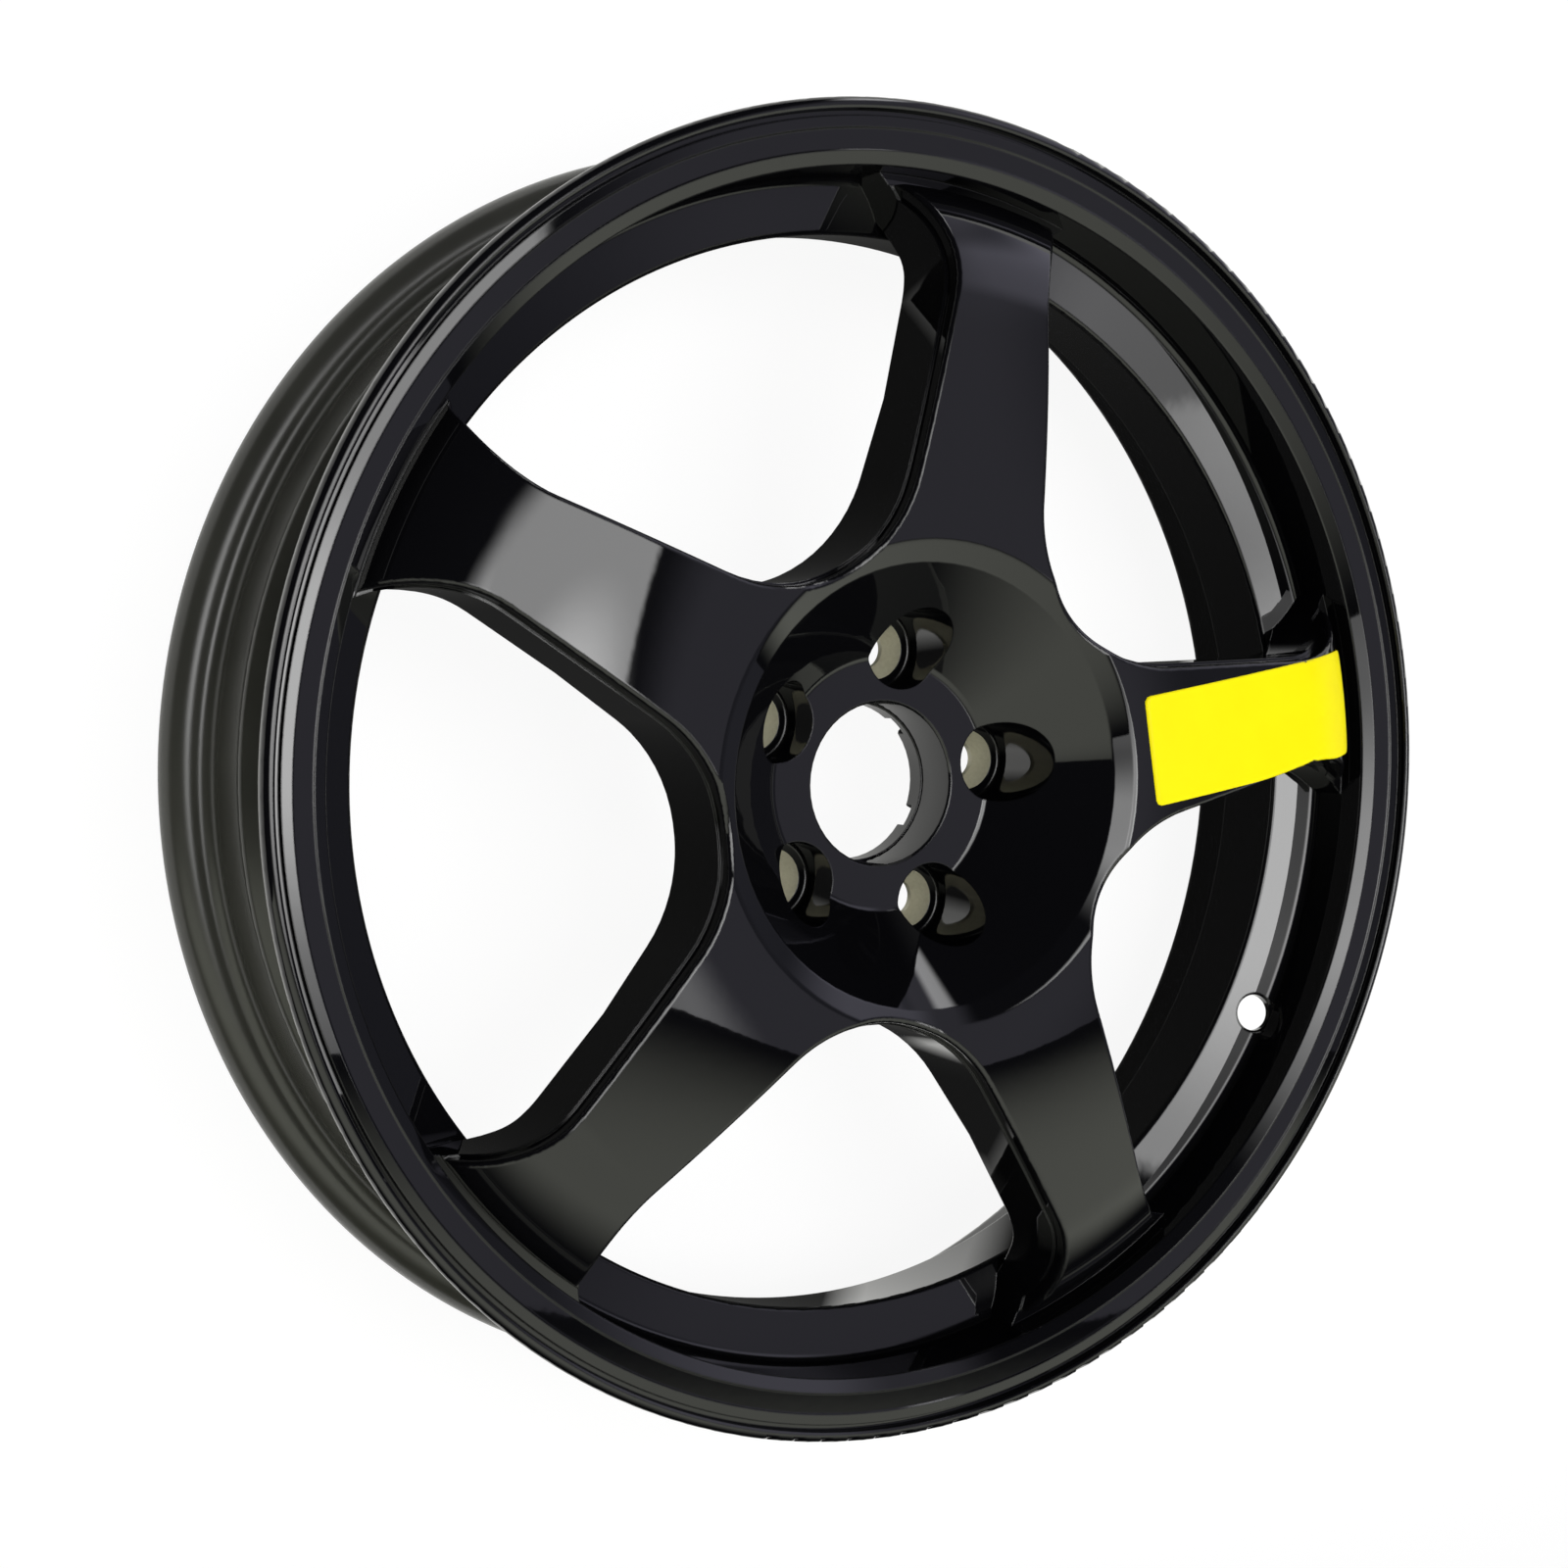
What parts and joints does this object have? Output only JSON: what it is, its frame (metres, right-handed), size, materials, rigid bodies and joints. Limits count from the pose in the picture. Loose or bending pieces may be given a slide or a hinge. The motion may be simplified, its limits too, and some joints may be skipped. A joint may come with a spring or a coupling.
{
  "type": "wheel rim",
  "caption": "Narrow cast alloy wheel rim in gloss black with broad dished spokes, a bowl-shaped hub with recessed lug pockets, a centre bore and a valve hole; carries a spare-type car tyre.",
  "frame": {"origin": "on the wheel axis, in the plane of the machined face that bolts to the hub", "axes": "+Z along the wheel axis towards the outboard face, +X through the valve hole and the middle of a window"},
  "size_m": [0.522, 0.522, 0.1513],
  "materials": {
    "gloss_black_paint": "gloss"
  },
  "bodies": {
    "root": {"wheel_rim": "gloss_black_paint"}
  },
  "joints": []
}
